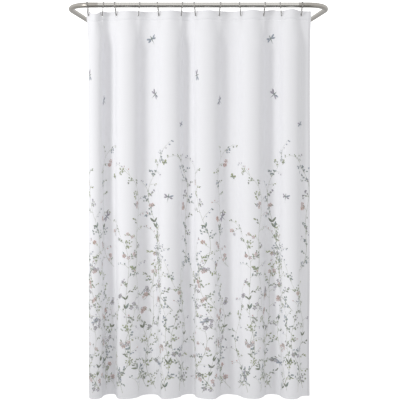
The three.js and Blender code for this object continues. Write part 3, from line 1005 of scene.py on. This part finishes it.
class Printer:
    def __init__(self, cloth, seed):
        self.draw = random.Random(seed)
        self.stems = Batch(cloth)
        self.leaves = Batch(cloth)
        self.blooms = Batch(cloth)
        self.insects = Batch(cloth)

    def tones(self, *names):
        name = self.draw.choice(names)
        strength = self.draw.uniform(0.82, 1.12)
        return shaded(ink[name], strength * 0.85), shaded(ink[name], strength * 1.35)

    def leaf(self, base, heading, length, *names):
        width = length * self.draw.uniform(0.28, 0.38)
        curl = self.draw.uniform(-0.4, 0.4)
        drawBlade(self.leaves, base, heading, length, width, self.tones(*names), 4, 0.42, curl)

    def bud(self, base, heading, *names):
        length = self.draw.uniform(*plant["bud"])
        drawBlade(self.blooms, base, heading, length, length * 0.68, self.tones(*names), 2, 0.55)

    def flower(self, middle, size, *names):
        start = self.draw.uniform(0, 6.28)
        tones = self.tones(*names)
        for petal in range(5):
            angle = start + petal * 2 * math.pi / 5 + self.draw.uniform(-0.12, 0.12)
            length = size / 2 * self.draw.uniform(0.88, 1.08)
            base = (middle[0] + 0.0016 * math.cos(angle), middle[1] - 0.0016 * math.sin(angle))
            drawBlade(self.blooms, base, angle, length, length * 0.78, tones, 3, 0.62)
        drawBlade(
            self.blooms, (middle[0] - 0.0019, middle[1]), 0, 0.0038, 0.0036,
            self.tones("straw", "moss"), 2, 0.5,
        )

    # A feathery tuft: short twigs spread like a fan, with small buds along them
    def spray(self, start, heading, reach, *names):
        draw = self.draw
        for _ in range(draw.randint(3, 5)):
            tilt = heading + draw.uniform(-42, 42)
            length = reach * draw.uniform(0.6, 1.1)
            line, angles = grown(start, tilt, length, draw.uniform(-50, 50), 6, draw)
            drawStem(self.stems, line, plant["twig"], shaded(ink["stemGreen"], draw.uniform(0.9, 1.1)))
            for index in range(2, len(line), 3):
                way = 1 if (index // 3) % 2 else -1
                self.bud(line[index], angles[index] + way * draw.uniform(0.4, 1.0), *names)
            self.bud(line[-1], angles[-1], *names)

    # A side twig: arches away from its stem and carries buds, small leaves or flowers
    def sprig(self, start, heading, length, kind):
        draw = self.draw
        side = 1 if math.cos(math.radians(heading)) > 0 else -1
        line, angles = grown(start, heading, length, -side * draw.uniform(20, 75), 5, draw)
        drawStem(self.stems, line, plant["sprigStem"], shaded(ink["stemGreen"], draw.uniform(0.9, 1.1)))
        family = draw.choice((
            ("mauve", "bluegrey"), ("sage", "moss"), ("rose", "mauve"), ("teal", "bluegrey"),
        ))
        green = draw.choice((("olive", "sage"), ("teal", "sage"), ("moss", "olive")))
        for index in range(2, len(line), 2):
            at, angle = line[index], angles[index]
            way = 1 if (index // 2) % 2 else -1
            if kind == "buds":
                if index > len(line) * 0.25 and index % 4 != 2:
                    tilt = angle + way * draw.uniform(0.6, 1.1)
                    reach = draw.uniform(*plant["budReach"])
                    base = (at[0] + reach * math.cos(tilt), at[1] - reach * math.sin(tilt))
                    self.bud(base, tilt, *family)
            elif kind == "leaves":
                tilt = angle + way * draw.uniform(0.3, 0.8)
                self.leaf(at, tilt, draw.uniform(*plant["leaf"]), *green)
            elif index % 4 == 0:
                self.leaf(at, angle + way * 0.8, draw.uniform(*plant["flowerLeaf"]), *green)
        if kind == "flowers":
            colours = draw.choice((("coral", "rose"), ("rose",), ("mauve",), ("rose", "mauve")))
            for _ in range(draw.randint(2, 3)):
                back = line[-1 - draw.randint(0, min(4, len(line) - 2))]
                spot = (back[0] + draw.uniform(-0.017, 0.017), back[1] + draw.uniform(-0.014, 0.014))
                self.flower(spot, draw.uniform(*plant["flower"]), *colours)
        elif kind == "buds":
            self.bud(line[-1], angles[-1], *family)
        else:
            self.leaf(line[-1], angles[-1], draw.uniform(*plant["tipLeaf"]), *green)

    def leafPair(self, at, angle, size):
        for one in (-1, 1):
            tilt = angle + one * self.draw.uniform(0.25, 0.85)
            self.leaf(at, tilt, size * self.draw.uniform(0.85, 1.1), "olive", "olive", "teal")

    # A climbing stem: leaf pairs low down, then twigs to both sides, finer towards the top
    def vine(self, across, height, heading, length, turn):
        draw = self.draw
        start = (across, curtain["height"] - height)
        line, angles = grown(start, heading, length, turn, plant["sway"], draw)
        drawStem(self.stems, line, plant["stem"], shaded(ink["stemGreen"], draw.uniform(0.8, 1.0)))
        index = draw.randint(3, 6)
        side = draw.choice((-1, 1))
        while index < len(line) - 3:
            share = index / len(line)
            at, angle = line[index], angles[index]
            chance = draw.random()
            if share < plant["pairsBelow"] and chance < plant["pairChance"]:
                self.leafPair(at, angle, draw.uniform(*plant["pairLeaf"]))
            elif chance < plant["sprayChance"]:
                tilt = math.degrees(angle) + side * draw.uniform(15, 60)
                names = draw.choice((("sage", "moss"), ("teal", "bluegrey"), ("mauve", "sage")))
                self.spray(at, tilt, draw.uniform(*plant["spray"]), *names)
                side = -side
            else:
                low = ("flowers", "leaves", "buds", "leaves")
                pool = low if share < 0.5 else ("buds", "buds", "leaves", "flowers")
                kind = draw.choice(pool)
                reach = draw.uniform(*plant["sprig"]) * (1.05 - 0.3 * share)
                self.sprig(at, math.degrees(angle) + side * draw.uniform(28, 55), reach, kind)
                side = -side
            index += draw.randint(5, 8)
        self.sprig(line[-1], math.degrees(angles[-1]), draw.uniform(*plant["lastSprig"]), "buds")

    def dragonfly(self, middle, heading):
        draw = self.draw
        angle = math.radians(heading)
        size = draw.uniform(1.2, 1.4)
        body = self.tones("bluegrey", "teal")
        tail = (middle[0] - 0.024 * size * math.cos(angle), middle[1] + 0.024 * size * math.sin(angle))
        drawBlade(self.insects, tail, angle, 0.038 * size, 0.0042 * size, body, 4, 0.72)
        for tilt in (1.2, 1.85, -1.2, -1.85):
            reach = 0.022 * size * (0.9 if abs(tilt) > 1.5 else 1.0)
            wing = self.tones("bluegrey", "mauve")
            drawBlade(self.insects, middle, angle + tilt, reach, 0.0066 * size, wing, 3, 0.62)

    def butterfly(self, middle, heading):
        angle = math.radians(heading)
        tail = (middle[0] - 0.007 * math.cos(angle), middle[1] + 0.007 * math.sin(angle))
        drawBlade(self.insects, tail, angle, 0.015, 0.0032, self.tones("olive"), 3, 0.5)
        for tilt, reach in ((0.9, 0.018), (-0.9, 0.018), (2.0, 0.013), (-2.0, 0.013)):
            wing = self.tones("sage", "moss")
            drawBlade(self.insects, middle, angle + tilt, reach, reach * 0.66, wing, 3, 0.66)


pattern = {
    "repeat": 0.889,
    "seed": 41,
    # each climbing stem: across, height of its foot, heading, length, whole bend
    "vines": [
        (0.045, 0.03, 64, 0.62, 62), (0.115, 0.03, 50, 0.44, 70), (0.165, 0.04, 122, 0.66, -62),
        (0.245, 0.03, 76, 0.62, 34), (0.315, 0.03, 124, 0.40, -50), (0.36, 0.04, 58, 0.84, 66),
        (0.43, 0.03, 118, 0.52, -52), (0.50, 0.03, 72, 0.56, 44), (0.56, 0.04, 132, 0.46, -64),
        (0.61, 0.03, 108, 0.70, -48), (0.68, 0.03, 58, 0.46, 64), (0.735, 0.04, 110, 0.62, -36),
        (0.80, 0.03, 70, 0.62, 50), (0.855, 0.04, 116, 0.58, -46),
        (0.06, 0.55, 58, 0.60, 74), (0.30, 0.62, 126, 0.62, -70), (0.47, 0.58, 64, 0.56, 60),
        (0.66, 0.62, 122, 0.60, -66), (0.83, 0.60, 60, 0.58, 64),
        (0.20, 0.42, 136, 0.34, -56), (0.55, 0.46, 46, 0.34, 60), (0.76, 0.42, 134, 0.34, -56),
    ],
    # each insect: across, height, heading
    "dragonflies": [
        (0.60, 1.70, 118), (0.09, 1.53, 12), (0.23, 1.41, 150), (0.62, 1.44, 40), (0.82, 1.30, 98),
        (0.73, 0.96, 80), (0.26, 0.86, 142), (0.13, 0.37, 128), (0.41, 0.11, 12), (0.66, 0.16, 84),
    ],
    "butterflies": [(0.32, 1.05, 60), (0.71, 1.12, 118), (0.47, 0.62, 75), (0.05, 0.55, 100)],
}


def addPrint(cloth):
    printer = Printer(cloth, pattern["seed"])
    for copy in (0, 1):
        printer.draw.seed(pattern["seed"])
        shift = copy * pattern["repeat"]
        for across, height, heading, length, turn in pattern["vines"]:
            printer.vine(across + shift, height, heading, length, turn)
        for across, height, heading in pattern["dragonflies"]:
            printer.dragonfly((across + shift, curtain["height"] - height), heading)
        for across, height, heading in pattern["butterflies"]:
            printer.butterfly((across + shift, curtain["height"] - height), heading)
    material = inkFinish()
    return [
        printer.stems.made("printStems", material),
        printer.leaves.made("printLeaves", material),
        printer.blooms.made("printBlooms", material),
        printer.insects.made("printInsects", material),
    ]


# The stitches of the hems and header
sewing = {
    "pitch": 0.0035,
    "length": 0.0026,
    "wide": 0.0006,
    "tall": 0.00028,
    "lift": 0.00024,
    "sunk": 0.00012,
    "inset": 0.004,
}


# One stitch: a long eight-faced bead lying on the cloth
def drawStitch(batch, middle, along):
    across = np.array([-along[1], along[0]])
    middle = np.array(middle)
    half = along * sewing["length"] / 2
    side = across * sewing["wide"] / 2
    places = [middle - half, middle - side, middle + half, middle + side, middle, middle]
    lift = sewing["lift"]
    lifts = [lift] * 4 + [lift + sewing["tall"], lift - sewing["sunk"]]
    faces = []
    for index in range(4):
        after = (index + 1) % 4
        faces.append((index, after, 4))
        faces.append((after, index, 5))
    batch.add(places, lifts, [], faces)


def drawSeam(batch, start, end):
    start, end = np.array(start), np.array(end)
    length = float(np.linalg.norm(end - start))
    along = (end - start) / length
    for index in range(int(length / sewing["pitch"])):
        drawStitch(batch, start + along * (index + 0.5) * sewing["pitch"], along)


# The thick stitched edge of each buttonhole, ribbed by its satin stitches
def drawButtonhole(batch, across):
    top, bottom = curtain["slotTop"], curtain["slotBottom"]
    corner = curtain["slotWide"] / 2
    middle = (top + bottom) / 2
    straight = (bottom - top) / 2 - corner
    count, around = 56, 6
    places, lifts, faces = [], [], []
    for index in range(count):
        angle = 2 * math.pi * index / count
        out = np.array([math.cos(angle), math.sin(angle)])
        centre = np.array([across, middle + (straight if out[1] > 0 else -straight)])
        thick = 0.00088 if index % 2 else 0.00104
        for side in range(around):
            turn = 2 * math.pi * side / around
            reach = corner + 0.0006 + thick * math.cos(turn)
            places.append(centre + out * reach)
            lifts.append(-0.0004 + 0.95 * thick * math.sin(turn))
    for index in range(count):
        for side in range(around):
            a = index * around + side
            b = index * around + (side + 1) % around
            c = (index + 1) % count * around
            faces.append((a, c + side, c + (side + 1) % around, b))
    batch.add(places, lifts, [], faces)


def addSewing(cloth):
    thread = threadFinish()
    width, height = curtain["width"], curtain["height"]
    inset = sewing["inset"]
    seams = Batch(cloth)
    drawSeam(seams, (inset, curtain["header"] - 0.003), (width - inset, curtain["header"] - 0.003))
    hemLine = height - curtain["bottomHem"] + 0.003
    drawSeam(seams, (inset, hemLine), (width - inset, hemLine))
    for across in (curtain["sideHem"] - 0.002, width - curtain["sideHem"] + 0.002):
        drawSeam(seams, (across, curtain["header"]), (across, hemLine))
    buttonholes = Batch(cloth)
    for across in holeU:
        drawButtonhole(buttonholes, across)
    return [seams.made("seamThread", thread), buttonholes.made("buttonholeThread", thread)]


def addCurtain():
    cloth = Cloth()
    body = clothFinish("curtain_cloth", paint(236, 236, 239), 0.0011, 0.74)
    hem = clothFinish("hem_cloth", paint(235, 235, 238), 0.0011, 0.76)
    tape = clothFinish("header_tape", paint(230, 230, 233), 0.0016, 0.82)
    width, height = curtain["width"], curtain["height"]
    half = curtain["thickness"] / 2
    behind = -(half + 0.00035 + 0.0002)
    edge = 0.001
    headerEnd = curtain["header"]
    hemStart = height - curtain["bottomHem"]
    sides = (headerEnd + edge, hemStart - edge)

    panel = clothSheet(cloth, "curtainPanel", (0, width), (0, height), 0.0, curtain["thickness"], body)
    bands = {
        "headerTape": ((0, width), (edge, headerEnd), tape, "header_tape"),
        "bottomHem": ((0, width), (hemStart, height - edge), hem, "bottom_hem"),
        "sideHemLeft": ((0, curtain["sideHem"]), sides, hem, "side_hem_left"),
        "sideHemRight": ((width - curtain["sideHem"], width), sides, hem, "side_hem_right"),
    }
    belongs(panel, "curtain", "curtain_cloth", "curtain_panel")
    pieces = []
    for name, (across, down, look, node) in bands.items():
        piece = clothSheet(cloth, name, across, down, behind, curtain["thickness"], look)
        belongs(piece, "curtain", "header_tape" if name == "headerTape" else "curtain_cloth", node)
        pieces.append(piece)
    for piece in addSewing(cloth) + addPrint(cloth):
        belongs(piece, "curtain", "curtain_cloth")
        pieces.append(piece)
    for piece in [panel] + pieces:
        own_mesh(piece)


# A soft room light: brightest level with the object, darker below and overhead
def addSky():
    world = bpy.data.worlds.new("softRoom")
    bpy.context.scene.world = world
    world.use_nodes = True
    nodes, links = world.node_tree.nodes, world.node_tree.links
    place = nodes.new("ShaderNodeTexCoord")
    split = nodes.new("ShaderNodeSeparateXYZ")
    ramp = nodes.new("ShaderNodeMapRange")
    curve = nodes.new("ShaderNodeValToRGB")
    ramp.inputs["From Min"].default_value = -1
    grey = lambda value: (value, value, value, 1)
    setStops(curve.color_ramp, [
        (0.0, grey(studio["skyLow"])), (0.36, grey(studio["skyLow"])),
        (0.52, grey(studio["skyMiddle"])), (0.72, grey(studio["skyMiddle"])),
        (0.92, grey(studio["skyHigh"])),
    ])
    links.new(place.outputs["Generated"], split.inputs[0])
    links.new(split.outputs["Z"], ramp.inputs["Value"])
    links.new(ramp.outputs[0], curve.inputs[0])
    links.new(curve.outputs[0], nodes["Background"].inputs["Color"])


def stageFinish(name, glow, levels=(243, 249)):
    finish = Finish(name, Roughness=0.9, Emission_Strength=glow)
    soft = finish.noise(finish.place(), 0.6, 2)
    finish.wear(
        Base_Color=finish.mixed(soft, *(paint(level, level, level) for level in levels)),
        Emission_Color=(1, 1, 1, 1),
    )
    return finish.material


# A white floor and surround that only the camera sees, and a grey card that only reflections see.
# The object is lit by the sky and the key light.
def addStage():
    deselect()
    floorZ = panelLow.z - studio["floorBelow"]
    bpy.ops.mesh.primitive_plane_add(size=60, location=(0, 0, floorZ))
    floor = bpy.context.object
    floor.name = "floor"
    floor.data.materials.append(stageFinish("floor_white", 0.45))
    bpy.ops.mesh.primitive_uv_sphere_add(segments=48, ring_count=24, radius=28, location=(0, 0, 0))
    surround = bpy.context.object
    surround.name = "surround"
    surround.data.materials.append(stageFinish("surround_white", 1.0))
    bpy.ops.mesh.primitive_plane_add(size=studio["cardSize"], location=studio["cardPlace"])
    card = bpy.context.object
    card.name = "reflectionCard"
    card.data.materials.append(stageFinish("card_grey", 0.0, (52, 58)))
    card.visible_camera = False
    for thing in (floor, surround, card):
        thing.visible_diffuse = False
        thing.visible_glossy = thing == card
        thing.visible_transmission = False
        thing.visible_shadow = False


bpy.context.scene.view_settings.view_transform = "Standard"
deselect()
addCamera()
addKeyLight()
addSky()
addStage()
print("studio ready")
addRod()
addCovers()
finishFittings()
print("rod and wall fittings ready")
addHooks()
print("hooks ready")
addCurtain()
print("curtain ready")
